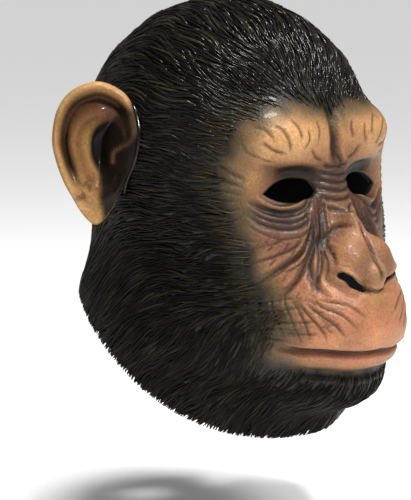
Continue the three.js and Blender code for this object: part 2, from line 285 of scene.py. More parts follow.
def spread_stations():
    """Arc length down the face, counted double where rows should be dense, by station."""
    station = np.linspace(0, 3, 241)
    length = 0
    for turn in (0.0, 0.5, 1.0):
        line = skin_at(np.full(241, turn), station)
        steps = np.linalg.norm(np.diff(line, axis=0), axis=1)
        level = (line[1:, 2] + line[:-1, 2]) / 2
        dense = smoothstep(level, FACE_TOP + 12, FACE_TOP) * smoothstep(level, FACE_FOOT - 10, FACE_FOOT)
        length = length + steps * lerp(0.32, 1, dense)
    total = np.concatenate([[0], np.cumsum(length)])
    return total / total[-1], station


def spread_turns(low, high, floor):
    """Arc length across the sheet between two turns, by turn; floor evens it out."""
    turn = np.linspace(low, high, 141)
    length = 0
    for station in (0.85, 1.1, 1.4, 1.6, 1.8, 2.0):
        line = skin_at(turn, np.full(141, station))
        length = length + np.linalg.norm(np.diff(line, axis=0), axis=1)
    length = length / length.mean() + floor
    total = np.concatenate([[0], np.cumsum(length)])
    return total / total[-1], turn


FACE_TURN = 1.42
STATIONS = spread_stations()
FRONT_TURNS = spread_turns(-FACE_TURN, FACE_TURN, 0.1)
BACK_TURNS = spread_turns(FACE_TURN, 2 * math.pi - FACE_TURN, 0.3)
print("rim tilts", np.round(RIM_TILTS[1][[0, 90]], 2), "at the nape and the throat")

# %% [markdown]
# ## Soft noise
#
# Hand work is never even: lines wobble and paint is patchy. A lattice of random values,
# smoothed between its points, gives such unevenness at any size and is the same each run.

# %% Lattice noise
LATTICE = np.random.default_rng(11).uniform(-1, 1, (24, 24, 24))


def soft_noise(points, size, seed=0):
    """Smooth noise from -1 to 1 whose lumps are about size millimetres wide."""
    spot = points / size + 7.3 * seed
    corner = np.floor(spot).astype(int)
    share = spot - corner
    share = share * share * (3 - 2 * share)
    total = 0
    for i in (0, 1):
        for j in (0, 1):
            for k in (0, 1):
                weight = (
                    (share[:, 0] if i else 1 - share[:, 0])
                    * (share[:, 1] if j else 1 - share[:, 1])
                    * (share[:, 2] if k else 1 - share[:, 2])
                )
                x, y, z = ((corner + (i, j, k)) % 24).T
                total = total + weight * LATTICE[x, y, z]
    return total


def plain_noise(points, sizes, seed=0):
    return sum(soft_noise(points, size, seed + n) / (n + 1) for n, size in enumerate(sizes))


# %% [markdown]
# ## Wrinkles of the face
#
# On the real mask every wrinkle is a groove with a soft swollen bank on each side. They could
# be painted as a bump map, but grooves two or three millimetres deep show in the outline, so
# they are pressed into the mesh. Each one is a line on the face: turns about the face's axis
# in degrees and levels in millimetres. They are laid out in families, as skin folds: arcs
# under the eye, a fan from the eye's inner corner, creases across the bridge of the nose.

# %% Lines on the face


def on_face(turns, levels):
    """Points of the bare form at turns in degrees about the face's axis and at levels."""
    turn = np.radians(np.asarray(turns, float))
    feet = np.stack([0 * turn, 0 * turn - FACE_AXIS, np.asarray(levels, float)], axis=1)
    return cast_to_form(feet, ray_way(turn, 0 * turn))


def smooth_line(stops, count):
    """A curve through the stops, with count points evenly spread over its pieces."""
    stops = np.asarray(stops, float)
    padded = np.vstack([2 * stops[0] - stops[1], stops, 2 * stops[-1] - stops[-2]])
    place = np.linspace(0, len(stops) - 1 - 1e-6, count)
    piece = place.astype(int)
    t = (place - piece)[:, None]
    a, b, c, d = (padded[piece + n] for n in range(4))
    return 0.5 * (2 * b + (c - a) * t + (2 * a - 5 * b + 4 * c - d) * t**2 + (3 * b - a - 3 * c + d) * t**3)


# %% Families of wrinkles
dice = np.random.default_rng(5)
WRINKLES = []  # (stops, half width, depth): a depth below 0 is a raised fold


def wrinkle(stops, width, depth):
    WRINKLES.append((stops, width, depth))


def fan(starts, ends, bow, width, depth):
    """Wrinkles side by side from a line of starts to a line of ends, bowed sideways."""
    for (start_turn, start_level), (end_turn, end_level) in zip(starts, ends):
        sway = bow * dice.uniform(0.7, 1.3)
        middle = ((start_turn + end_turn) / 2 + sway, (start_level + end_level) / 2 - 0.5 * sway)
        stops = [(start_turn, start_level), middle, (end_turn, end_level)]
        wrinkle(stops, width * dice.uniform(0.8, 1.2), depth * dice.uniform(0.75, 1.2))


# The big folds, which the CAD model has too.
wrinkle([(-38, -219), (-22, -221.5), (0, -223.5), (22, -221.5), (38, -219)], 2.2, 3.6)
wrinkle([(-33, -227), (-16, -229.5), (0, -231), (16, -229.5), (33, -227)], 4.2, -2.6)
wrinkle([(-30, -235.5), (-15, -238), (0, -239.5), (15, -238), (30, -235.5)], 3.0, 1.5)
wrinkle([(-28, -212), (0, -215), (28, -212)], 6.0, -1.1)
wrinkle([(37, -216), (39.5, -219.5), (39, -225)], 1.6, 1.0)
wrinkle([(0, -66), (0, -84), (0, -103)], 3.8, 2.4)
wrinkle([(-2, -90), (3.5, -99), (4.5, -107)], 2.0, 1.2)

# Under the eye: the lower lid's raised edge, then the bags below it.
wrinkle([(16, -121), (22, -127), (31, -129.4), (40, -127), (47.5, -121.5)], 1.5, -1.4)
for drop, width, depth in ((0, 1.8, 2.0), (5.4, 1.2, 1.3), (9.4, 1.6, 1.6), (15.6, 1.0, 0.6)):
    wrinkle(
        [(17 + 0.25 * drop, -124.5 - 0.9 * drop), (23, -131 - drop), (32, -133.2 - 1.05 * drop),
         (42, -130.5 - drop), (51 + 0.1 * drop, -124 - 0.8 * drop)],
        width, depth,
    )
# The recess between the upper lid and the brow, deepest by the nose.
wrinkle([(10, -114), (17, -108.5), (26, -106.5), (37, -107.5)], 4.4, 2.2)
# Long folds that start at the inner corner and sweep down and out over the cheek.
for start, end, width, depth in (
    ((9.5, -124), (11.5, -149), 1.3, 1.2),
    ((11, -124), (14.5, -166), 1.7, 2.0),
    ((12.5, -125), (18, -176), 1.2, 1.1),
    ((13.5, -126), (24, -187), 2.1, 2.4),
    ((15, -129), (30, -180), 1.0, 0.9),
    ((16.5, -132), (37, -191), 2.0, 2.3),
    ((18, -137), (45, -182), 1.1, 1.0),
    ((18.5, -141), (52, -184), 1.9, 2.1),
    ((24, -149), (56, -169), 1.2, 1.0),
    ((31, -149), (64, -160), 1.0, 0.8),
    ((22, -158), (34, -172), 0.9, 0.8),
    ((29, -163), (43, -173), 0.9, 0.7),
    ((27, -172), (36, -183), 0.9, 0.7),
):
    across, fall = end[0] - start[0], end[1] - start[1]
    bend = dice.uniform(-1, 1)
    upper = (start[0] + 0.2 * across + bend, start[1] + 0.38 * fall)
    lower = (start[0] + 0.55 * across + 0.7 * bend, start[1] + (0.72 + 0.04 * bend) * fall)
    wrinkle([start, upper, lower, end], width, depth)
# Crow's feet and the fine level lines that run from the temple into the hair.
fan(
    [(50, -112), (51, -116), (52, -120), (53, -124), (53, -129), (52, -134)],
    [(66, -98), (70, -106), (73, -115), (73, -124), (71, -134), (68, -145)],
    0.6, 1.4, 1.0,
)
for level in range(-168, -74, 5):
    start = 59 + dice.uniform(-4, 4) - 0.05 * abs(level + 110)
    wrinkle([(start, level), (start + 9, level + dice.uniform(-1, 1.5)), (start + 20, level - 1)], 1.0, 0.6)
# Short crescents on the brow.
for stops in (
    [(53, -84), (50, -92), (43, -97.5), (37, -98.5)],
    [(47, -76), (41, -79), (37, -85)],
    [(39, -74), (33, -79), (30, -87), (29, -92)],
    [(43, -86), (38, -91), (31, -93)],
    [(29, -71), (25, -77), (23.5, -85)],
    [(20, -76), (19, -84), (21.5, -91)],
    [(9, -100), (14, -97), (17.5, -91)],
    [(13, -73), (11.5, -80), (12.5, -87)],
    [(58, -77), (60, -84), (59, -92)],
):
    wrinkle(stops, dice.uniform(0.8, 1.25), dice.uniform(0.6, 1.0))
# Across the bridge of the nose.
for level, reach in ((-104, 9), (-109, 11), (-114, 12), (-119.5, 12), (-125.5, 11), (-132, 9)):
    wrinkle([(-reach, level + 1.5), (-reach / 2, level), (reach / 2, level), (reach, level + 1.5)], 1.7, 1.3)
# The nose: a crease down the middle, the pad's upper edge and the furrow round each wing.
wrinkle([(0, -137), (0, -152), (0, -166), (0, -177)], 1.7, 1.2)
wrinkle([(2.5, -141), (7, -143), (11.5, -149), (15, -156)], 1.8, 1.3)
wrinkle([(11, -147), (16.5, -152), (21, -160), (22.5, -169), (21.5, -178), (17, -186)], 2.6, 2.0)
wrinkle([(17, -160), (19.5, -168), (19, -176)], 2.4, -0.8)
# Lines that sweep from under the wing down over the upper lip.
for stops in (
    [(22, -186), (13, -190), (6, -198)],
    [(24, -188), (16, -195), (9, -205)],
    [(26, -189), (19, -199), (13, -210)],
    [(29, -189), (23.5, -200), (19, -212)],
    [(31, -187), (27, -200), (24.5, -213)],
):
    wrinkle(stops, dice.uniform(0.9, 1.3), dice.uniform(0.8, 1.1))
# Thin upright lines on the side of the muzzle, and nearly level ones that cross them.
for stops in (
    [(34, -180), (33, -192), (30, -205), (27, -215)],
    [(39, -184), (38, -195), (35, -207), (33, -214)],
    [(44, -184), (43.5, -197), (40, -211)],
    [(50, -186), (49, -198), (46, -209)],
):
    wrinkle(stops, 1.0, 1.0)
for turn, level, reach, rise in (
    (54, -184, 14, 3.5), (52, -191, 24, 5), (45, -196, 18, 3.5), (50, -201, 17, 4),
    (38, -203, 15, 3), (49, -208.5, 22, 2.5), (35, -209, 13, 0.5), (43, -214, 12, -0.5),
):
    middle = (turn - 0.5 * reach, level + 0.3 * rise)
    wrinkle([(turn, level), middle, (turn - reach, level + rise)], 0.95, 1.0)
# From the cheek back to the hair.
fan(
    [(42, -152), (46, -158), (50, -165), (52, -172), (53, -180), (52, -190), (50, -200), (48, -209)],
    [(64, -148), (68, -157), (70, -166), (71, -176), (70, -187), (67, -198), (63, -209), (58, -219)],
    1.0, 1.2, 0.75,
)
for step in range(9):
    start = (52 + dice.uniform(-2, 3), -140 - 5 * step)
    wrinkle([start, (start[0] + 7, start[1] - 1.5), (start[0] + 13, start[1] - 1)], 0.9, 0.55)
# Short scratches between the folds: on the cheek they fan out from the eye's inner corner,
# and lower down they lean forward.
INNER_CORNER = (14, -124)
for _ in range(64):
    turn, level = dice.uniform(20, 60), dice.uniform(-208, -146)
    reach = dice.uniform(4, 8)
    if level > -186:
        aside, below = turn - INNER_CORNER[0], level - INNER_CORNER[1]
        away = math.hypot(aside, below)
        lean = (aside / away, below / away)
    else:
        lean = (-0.5, -0.85) if dice.random() < 0.5 else (-0.95, 0.3)
    middle = (turn + 0.5 * reach * lean[0] + dice.uniform(-0.5, 0.5), level + 0.5 * reach * lean[1])
    end = (turn + reach * lean[0], level + reach * lean[1])
    wrinkle([(turn, level), middle, end], 0.8, dice.uniform(0.3, 0.6))
print(len(WRINKLES), "wrinkles on one side")

# Soft swellings: turn, level, across, up, height in millimetres.
SWELLINGS = [
    (0, -172, 8, 7, 2.4),
    (11, -169, 8, 6, 0.9),
    (17.5, -183, 6, 4, 1.3),
    (32, -98, 22, 5, 1.4),
    (0, -206, 30, 8, 0.8),
    (34, -86, 24, 8, 0.8),
    (41, -168, 12, 14, 0.9),
]

# %% [markdown]
# The holes for the eyes and the nostrils are drawn as seen from in front, then cast back to
# the face. Close to a hole the latex rolls in, so its edge has no sharp corner.

# %% Outlines of the holes


def bezier(a, b, c, d, count):
    t = np.linspace(0, 1, count, endpoint=False)[:, None]
    a, b, c, d = (np.array(stop, float) for stop in (a, b, c, d))
    return a * (1 - t) ** 3 + 3 * b * t * (1 - t) ** 2 + 3 * c * t**2 * (1 - t) + d * t**3


def eye_outline(side):
    """Pointed at its outer corner, blunt by the nose. side is 1 or -1."""
    corners = [
        ((1, -0.2), (0.6, 0.75), (0.1, 1.25), (-0.55, 1.0)),
        ((-0.55, 1.0), (-0.85, 0.9), (-1.1, 0.4), (-1, -0.1)),
        ((-1, -0.1), (-0.8, -0.95), (0.35, -1.5), (1, -0.2)),
    ]
    line = np.vstack([bezier(*stops, 60) for stops in corners]) * EYE_HOLE
    return line * (side, 1) + (side * EYE_SIDE, -EYE_DROP)


def nostril_outline(side):
    half, round_end = NOSTRIL_HALF
    end = np.linspace(-math.pi / 2, math.pi / 2, 24)
    cap = np.stack([half - round_end + round_end * np.cos(end), round_end * np.sin(end)], axis=1)
    sides = np.linspace(half - round_end, round_end - half, 40)[1:-1]
    upper = np.stack([sides, 0 * sides + round_end], axis=1)
    line = np.vstack([cap, upper, -cap, -upper])
    turn = side * NOSTRIL_TURN
    spin = np.array([[math.cos(turn), math.sin(turn)], [-math.sin(turn), math.cos(turn)]])
    return line @ spin + (side * NOSTRIL_SIDE, -NOSE_DROP)


def on_front(line):
    """A line drawn as (side, level) cast to the face from the front."""
    feet = np.stack([line[:, 0], 0 * line[:, 0] - FACE_AXIS, line[:, 1]], axis=1)
    return cast_to_form(feet, np.array([[0.0, -1.0, 0.0]]))


def inside_outline(seen, outline):
    """Which points seen from in front are inside a closed outline, by crossings to one side."""
    x, z = seen[:, :1], seen[:, 1:]
    x1, z1 = outline.T
    x2, z2 = np.roll(outline, -1, axis=0).T
    spans = (z1 > z) != (z2 > z)
    with np.errstate(divide="ignore", invalid="ignore"):
        crossing = x1 + (z - z1) * (x2 - x1) / (z2 - z1)
    return (spans & (x < crossing)).sum(axis=1) % 2 == 1


HOLES = []  # (outline seen from in front, outline on the face, reach of its rolled edge)
for side in (-1, 1):
    for outline, roll in ((eye_outline(side), 2.4), (nostril_outline(side), 1.6)):
        HOLES.append((outline, on_front(outline), roll))
print(len(HOLES), "holes")

# %% Relief: how high the latex stands over the bare form, and how dark its grooves are
TRACED = []
for stops, width, depth in WRINKLES:
    crosses = stops[0][0] < 0 or all(turn == 0 for turn, _ in stops)
    length = sum(math.dist(a, b) for a, b in zip(stops, stops[1:]))
    line = smooth_line(stops, int(10 + 1.2 * length))
    for side in (1,) if crosses else (1, -1):
        traced = on_face(side * line[:, 0], line[:, 1])
        sway = 1.3 * soft_noise(traced, 14, 3)[:, None] * (0.0 if width > 5 else 1.0)
        traced = traced + sway * (0, 0, 1)
        TRACED.append((traced, width, depth))


def near_line(points, line, reach):
    """Which points are within reach of the line, how far they are, and how far along it."""
    low, high = line.min(axis=0) - reach, line.max(axis=0) + reach
    close = np.flatnonzero(np.all((points > low) & (points < high), axis=1))
    gap, along = np.empty(len(close)), np.empty(len(close))
    for start in range(0, len(close), CHUNK):
        some = close[start : start + CHUNK]
        square = ((points[some, None, :] - line[None, :, :]) ** 2).sum(axis=2)
        best = square.argmin(axis=1)
        gap[start : start + CHUNK] = np.sqrt(square[np.arange(len(some)), best])
        along[start : start + CHUNK] = best / (len(line) - 1)
    return close, gap, along


def near_spot(points, place, across, up):
    """1 at a place of the face, fading out as far as a soft spot reaches across and up."""
    apart = points - place
    reach = (apart[:, 0] ** 2 + apart[:, 1] ** 2) / across**2 + apart[:, 2] ** 2 / up**2
    return np.exp(-reach)


SWOLLEN = []
for turn, level, across, up, rise in SWELLINGS:
    for side in (1, -1) if turn else (1,):
        SWOLLEN.append((on_face([side * turn], [level])[0], across, up, rise))
# The nose pad hangs over the nostril: a raised edge above it, a groove along it that meets
# its twin at the tip, and a raised rim below it. Each is offset from the nostril's own line.
PAD_LINES = []
for side in (-1, 1):
    along = np.linspace(-NOSTRIL_HALF[0] - 1, NOSTRIL_HALF[0] + 3.5, 30)
    inward, upward = np.array([math.cos(NOSTRIL_TURN), math.sin(NOSTRIL_TURN)]), np.array([-0.53, 0.85])
    for offset, width, depth in ((3.4, 1.7, -1.1), (0.0, 1.5, 1.4), (-4.0, 1.9, -0.9)):
        line = along[:, None] * inward + offset * upward + (NOSTRIL_SIDE, -NOSE_DROP)
        tip = np.array([[0.3, line[0, 1] - 0.6 * max(offset, 0) - 0.5]]) if offset >= 0 else line[:1]
        line = np.vstack([lerp(tip, line[:1], np.linspace(0, 1, 10)[:-1, None]), line])
        PAD_LINES.append((on_front(line * (side, 1)), width, depth))
DEEPEST = 2.3  # grooves that cross go no deeper together


def relief(points):
    """Height over the bare form in millimetres, and the dark wash in the grooves with their painted shade,
    from 0 to 1.
    """
    height, wash_and_shade = np.zeros(len(points)), np.zeros(len(points))
    for line, width, depth in TRACED:
        close, gap, along = near_line(points, line, 3.2 * width)
        taper = np.clip(np.minimum(along, 1 - along) * 5, 0, 1) ** 0.7
        groove = np.exp(-((gap / width) ** 2))
        bank = 0.32 * np.exp(-(((gap - 1.75 * width) / (0.8 * width)) ** 2))
        height[close] -= depth * taper * (groove - bank)
        # Painted shade: a groove is darkened as well as pressed in.
        if depth > 0:
            dark = taper * np.exp(-((gap / (0.9 * width)) ** 2)) * min(1.0, 0.5 + 0.4 * depth)
            wash_and_shade[close] = np.maximum(wash_and_shade[close], dark)
    in_mouth = np.exp(-(((points[:, 2] + MOUTH_DROP) / 5) ** 2)) * (points[:, 1] < -80)
    deepest = DEEPEST + 1.6 * in_mouth
    height = np.where(height < 0, -deepest * np.tanh(-height / deepest), height)
    for _, edge, roll in HOLES:
        if roll < 2:
            close, gap, _ = near_line(points, edge, 6)
            height[close] *= smoothstep(gap, 1.5, 6)
            wash_and_shade[close] *= smoothstep(gap, 1.5, 6)
    for line, width, depth in PAD_LINES:
        close, gap, along = near_line(points, line, 3 * width)
        fold = np.exp(-((gap / width) ** 2)) * (1 - along**6)
        height[close] -= depth * fold
        # Painted shade: the groove under the pad's overhanging edge is darkened.
        if depth > 0:
            wash_and_shade[close] = np.maximum(wash_and_shade[close], 0.8 * fold)
    for _, edge, roll in HOLES:
        close, gap, _ = near_line(points, edge, roll)
        height[close] -= 0.6 * roll * (1 - gap / roll).clip(0) ** 2
    for place, across, up, rise in SWOLLEN:
        height += rise * near_spot(points, place, across, up)
    skin = (points[:, 1] < -35) * 1.0
    height += skin * 0.25 * plain_noise(points, (9, 4), 2)
    return height, wash_and_shade


# %% [markdown]
# ## Paint
#
# The painter sprays soft spots of colour over a tan base and works a dark wash into the grooves.
# Here the wash also paints the shade that falls in the grooves, a few spots paint the shadow
# under the brow, and a lighter tan on the raised banks paints their highlight. An image texture
# could hold this, but colours kept on the mesh's own points need no file and no unwrapping. A
# spot is a place on the face, how far it spreads across and up, a colour and how much of it lands.

# %% Colours and spots


def from_screen(red, green, blue):
    """A colour as read off a screen, turned into the linear values that Blender mixes."""
    shares = [c / 255 for c in (red, green, blue)]
    return np.array([c / 12.92 if c < 10 / 255 else ((c + 0.055) / 1.055) ** 2.4 for c in shares])


COLOURS = {
    "base": from_screen(127, 87, 57),
    "tan": from_screen(168, 127, 82),
    "gold": from_screen(143, 108, 68),
    "ear": from_screen(108, 74, 44),
    "olive": from_screen(76, 64, 40),
    "peach": from_screen(156, 100, 71),
    "lip": from_screen(162, 97, 74),
    "rose": from_screen(112, 67, 52),
    "nose": from_screen(98, 67, 47),
    "umber": from_screen(70, 43, 27),
    "plum": from_screen(50, 31, 28),
    "black": from_screen(14, 11, 10),
    # The next colour is the dark wash of the grooves, which also paints their shade.
    "wash_and_shade": from_screen(30, 17, 12),
    "mouth": from_screen(40, 14, 10),
    "hair": from_screen(9, 8, 6),
    # The next colour lightens some hair strands: dry brushing, partly a painted highlight.
    "brushed_and_highlit": from_screen(92, 84, 62),
}
SPOTS = [
    # turn, level, across, up, colour, strength
    (0, -215, 66, 24, "peach", 0.95),
    (0, -232, 46, 10, "lip", 0.9),
    (62, -170, 26, 40, "rose", 0.8),
    (40, -188, 20, 20, "rose", 0.6),
    (40, -165, 20, 17, "rose", 0.6),
    (24, -172, 10, 13, "rose", 0.5),
    (46, -204, 14, 16, "olive", 0.5),
    (33, -84, 30, 13, "tan", 0.95),
    (62, -92, 14, 20, "gold", 0.7),
    (66, -120, 12, 14, "olive", 0.5),
    # Painted shadow under the overhanging brow, in umber over and round the eye.
    (28, -104, 24, 6, "umber", 0.95),
    (27, -119, 22, 12, "umber", 0.85),
    (50, -112, 10, 10, "gold", 0.7),
    # Painted shadow under the brow, in black, deepest in the recess by the nose.
    (23, -111, 20, 8, "black", 0.95),
    (56, -146, 15, 14, "rose", 0.7),
    (31, -136, 23, 14, "plum", 1.0),
    (31, -132, 18, 5, "black", 0.6),
    (17, -150, 9, 16, "plum", 0.6),
    (52, -136, 11, 10, "plum", 0.7),
    # Painted shadow under the brow at the eye's inner corner, in black.
    (14, -121, 9, 13, "black", 0.95),
    (18, -142, 11, 14, "plum", 0.75),
    (30, -160, 16, 12, "plum", 0.4),
    (0, -112, 14, 13, "plum", 0.92),
    (0, -132, 12, 13, "plum", 0.7),
    (0, -92, 4.5, 20, "umber", 0.9),
    (0, -165, 24, 17, "nose", 0.9),
    (10, -150, 9, 9, "plum", 0.45),
    (17, -170, 7, 8, "nose", 0.6),
    (12, -184, 12, 4, "peach", 0.8),
    (0, -186, 8, 6, "tan", 0.4),
    (0, -242, 34, 5, "umber", 0.7),
]
PLACED_SPOTS = []
for turn, level, across, up, colour, strength in SPOTS:
    for side in (1, -1) if turn else (1,):
        PLACED_SPOTS.append((on_face([side * turn], [level])[0], across, up, colour, strength))

# The hairline as seen from in front: side and level.
HAIRLINE = smooth_line(
    [(0, -70), (14, -64), (34, -62), (52, -67), (64, -78), (70, -95), (71, -115), (67, -140),
     (62, -160), (57, -185), (55, -207), (56, -222), (50, -232), (30, -237), (0, -239)],
    160,
)
HAIR_LOOP = np.vstack([HAIRLINE, HAIRLINE[::-1] * (-1, 1)])


def past_hairline(points):
    """How far points are into the hair as seen from in front, below 0 on the bare face."""
    seen = points[:, [0, 2]]
    mirrored = np.abs(seen) * (1, -1)
    gap, inside = np.empty(len(points)), np.empty(len(points), bool)
    for start in range(0, len(points), CHUNK):
        part = slice(start, start + CHUNK)
        square = ((mirrored[part, None, :] - HAIRLINE[None]) ** 2).sum(axis=2)
        gap[part] = np.sqrt(square.min(axis=1))
        inside[part] = inside_outline(seen[part], HAIR_LOOP)
    behind = (points[:, 1] + 25).clip(0)
    return np.where(inside & (behind == 0), -gap, np.hypot(gap, behind))


def mixed(colours, colour, share):
    return colours + (COLOURS[colour] - colours) * np.clip(share, 0, 1)[:, None]


def face_paint(points, height, wash_and_shade):
    """Linear colour of each point of the head."""
    colours = np.tile(COLOURS["base"], (len(points), 1))
    patch = plain_noise(points, (16, 7, 3.2), 4)
    for place, across, up, colour, strength in PLACED_SPOTS:
        share = strength * near_spot(points, place, across, up) * (1 + 0.3 * patch)
        colours = mixed(colours, colour, share)
    # Painted highlight: the raised banks are mixed towards a lighter tan.
    colours = mixed(colours, "tan", 0.25 * smoothstep(height, 0.25, 1.3))
    # The dark wash in the grooves, which also paints the shade that falls in them.
    colours = mixed(colours, "wash_and_shade", 0.97 * wash_and_shade)
    for _, edge, roll in HOLES:
        close, gap, _ = near_line(points, edge, roll)
        dark = np.zeros(len(points))
        dark[close] = 1 - smoothstep(gap, 0.3, 1.1)
        colours = mixed(colours, "black", dark)
    sag = 1.5 - 4.5 * (points[:, 0] / MUZZLE_HALF) ** 2
    mouth = np.exp(-(((points[:, 2] + MOUTH_DROP + sag) / 1.7) ** 2)) * (np.abs(points[:, 0]) < 48)
    colours = mixed(colours, "mouth", 0.95 * mouth * (points[:, 1] < -90))
    colours *= (1 + 0.16 * patch)[:, None]
    past = past_hairline(points) + 2.5 * soft_noise(points, 8, 9)
    colours = mixed(colours, "olive", 0.8 * smoothstep(past, -15, -3))
    colours = mixed(colours, "hair", smoothstep(past, -8, 3))
    return colours


# %% [markdown]
# ## Latex
#
# Painted latex is satin, with a thin clear coat that gives small soft glints. Its colour
# comes from the points' paint. A fine noise bump gives the pores that the mould leaves; they
# are far smaller than a face of the mesh, so a bump is enough for them.

# %% Materials
COAT_FULL_AT, COAT_THIN_AT = -0.06, -0.17


def latex(name, roughness, coat, pore, depth, tint=0.0, mirror=0.5, gloss=0.12, low_coat=None):
    """Satin latex in the colours painted on the points, with a bump of pores.

    Where low_coat is given, the clear coat thins to it from the crown down to the jaw."""
    material = bpy.data.materials.new(name)
    material.use_nodes = True
    nodes, links = material.node_tree.nodes, material.node_tree.links
    shader = nodes["Principled BSDF"]
    shader.inputs["Roughness"].default_value = roughness
    shader.inputs["Coat Weight"].default_value = coat
    shader.inputs["Coat Roughness"].default_value = gloss
    shader.inputs["Specular IOR Level"].default_value = mirror
    paint = nodes.new("ShaderNodeAttribute")
    paint.attribute_name = "paint"
    place = nodes.new("ShaderNodeTexCoord")
    grain = nodes.new("ShaderNodeTexNoise")
    grain.inputs["Scale"].default_value = 1 / pore
    grain.inputs["Detail"].default_value = 3
    links.new(place.outputs["Object"], grain.inputs["Vector"])
    if low_coat is not None:
        level = nodes.new("ShaderNodeSeparateXYZ")
        thinning = nodes.new("ShaderNodeMapRange")
        thinning.inputs["From Min"].default_value = COAT_THIN_AT
        thinning.inputs["From Max"].default_value = COAT_FULL_AT
        thinning.inputs["To Min"].default_value = low_coat
        thinning.inputs["To Max"].default_value = coat
        links.new(place.outputs["Object"], level.inputs["Vector"])
        links.new(level.outputs["Z"], thinning.inputs["Value"])
        links.new(thinning.outputs["Result"], shader.inputs["Coat Weight"])
    if tint:
        speckle = nodes.new("ShaderNodeMapRange")
        speckle.inputs["To Min"].default_value = 1 - tint
        speckle.inputs["To Max"].default_value = 1 + tint
        shade = nodes.new("ShaderNodeVectorMath")
        shade.operation = "SCALE"
        links.new(grain.outputs["Fac"], speckle.inputs["Value"])
        links.new(paint.outputs["Color"], shade.inputs["Vector"])
        links.new(speckle.outputs["Result"], shade.inputs["Scale"])
        links.new(shade.outputs["Vector"], shader.inputs["Base Color"])
    else:
        links.new(paint.outputs["Color"], shader.inputs["Base Color"])
    bump = nodes.new("ShaderNodeBump")
    bump.inputs["Distance"].default_value = depth
    links.new(grain.outputs["Fac"], bump.inputs["Height"])
    links.new(bump.outputs["Normal"], shader.inputs["Normal"])
    return material


def plain(name, colour, roughness, coat=0.0, mirror=0.5):
    material = bpy.data.materials.new(name)
    material.use_nodes = True
    shader = material.node_tree.nodes["Principled BSDF"]
    shader.inputs["Base Color"].default_value = (*colour, 1)
    shader.inputs["Roughness"].default_value = roughness
    shader.inputs["Specular IOR Level"].default_value = mirror
    shader.inputs["Coat Weight"].default_value = coat
    shader.inputs["Coat Roughness"].default_value = 0.1
    return material


skin_latex = latex("painted face latex", 0.46, 0.07, 0.0016, 0.0006, tint=0.5, mirror=0.2)
ear_latex = latex("painted ear latex", 0.48, 0.12, 0.0018, 0.0005, tint=0.5, mirror=0.07)
hair_latex = latex(
    "painted hair latex", 0.42, 0.3, 0.0012, 0.0003, mirror=0.03, gloss=0.11, low_coat=0.08
)
inner_latex = plain("bare dark latex", from_screen(7, 7, 7), 0.8, mirror=0.1)
glue = plain("black glue", from_screen(10, 9, 9), 0.3, 0.3, 0.1)
print("materials:", [m.name for m in bpy.data.materials])

# %% [markdown]
# ## The face and the scalp
#
# The outer skin is a grid that is wrapped onto the form, then pushed out or in by the relief.
# It is made as two pieces that share the rows along their join, a fine one for the face and a
# coarser one for the back of the head, so neither is too heavy. The holes are cut by taking
# out faces, pulling the edge onto the drawn outline and turning it in by the wall.

# %% Helpers that make a mesh piece


def places_on_grid(bm):
    """Where each corner of a flat grid lies, from 0 to 1 across and down."""
    across = np.array([vert.co.x for vert in bm.verts]) + 0.5
    down = 0.5 - np.array([vert.co.y for vert in bm.verts])
    return across, down


def grid(columns, rows):
    """A flat grid as a bmesh, and its corners' places."""
    bm = bmesh.new()
    bmesh.ops.create_grid(bm, x_segments=columns, y_segments=rows, size=0.5)
    return bm, *places_on_grid(bm)


def put(bm, points):
    for vert, point in zip(bm.verts, points * STRETCH):
        vert.co = point


def paint_points(bm, colours):
    layer = bm.verts.layers.float_color.new("paint")
    for vert, colour in zip(bm.verts, colours):
        vert[layer] = (*colour, 1)


def finish_piece(bm, name, material, node, smooth=True):
    """Turns a bmesh into a piece that rides on the head and takes a node's place."""
    mesh = bpy.data.meshes.new(name)
    bm.to_mesh(mesh)
    bm.free()
    if smooth:
        mesh.shade_smooth()
    mesh.materials.append(material)
    piece = bpy.data.objects.new(name, mesh)
    bpy.context.scene.collection.objects.link(piece)
    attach(piece, "root")
    if node:
        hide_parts(node)
    print(name, len(mesh.polygons), "faces")
    return piece


def face_out(bm, sign=1):
    """Makes the faces of an open sheet look away from the head's middle, or towards it."""
    middle = Vector((0, -0.02, -0.15))
    total = sum((face.calc_center_median() - middle).dot(face.normal) for face in list(bm.faces)[::97])
    if total * sign < 0:
        bmesh.ops.reverse_faces(bm, faces=bm.faces)


def in_order(items):
    """The items once each, in the order they come, so that every run is the same."""
    return list(dict.fromkeys(items))


def open_edges(bm):
    return [edge for edge in bm.edges if edge.is_boundary]


# %% The outer skin
ROWS = 258
FRONT_COLUMNS = 326
BACK_COLUMNS = 92
LIP = 2.7


def split_near_holes(bm, bare):
    """Splits the faces near each hole's outline in three, while the grid is still flat."""
    close = np.zeros(len(bare), bool)
    for _, edge, roll in HOLES:
        near, gap, _ = near_line(bare, edge, 4)
        close[near[gap < 1.1 * roll]] = True
    close = [vert for vert, is_close in zip(bm.verts, close) if is_close]
    edges = in_order(edge for vert in close for edge in vert.link_edges)
    bmesh.ops.subdivide_edges(bm, edges=edges, cuts=2, use_grid_fill=True)


def skin_piece(name, columns, turns):
    bm, across, down = grid(columns, ROWS)
    bare = skin_at(np.interp(across, *turns), np.interp(down, *STATIONS))
    if columns == FRONT_COLUMNS:
        split_near_holes(bm, bare)
        across, down = places_on_grid(bm)
        bare = skin_at(np.interp(across, *turns), np.interp(down, *STATIONS))
    out = form_normal(bare)
    height, wash_and_shade = relief(bare)
    put(bm, bare + out * height[:, None])
    paint_points(bm, face_paint(bare, height, wash_and_shade))
    cut_holes(bm, bare)
    bm.normal_update()
    bmesh.ops.remove_doubles(bm, verts=bm.verts, dist=2e-6)
    face_out(bm)
    bm.normal_update()
    turn_edges_in(bm)
    return finish_piece(bm, name, skin_latex, "mask_shell")


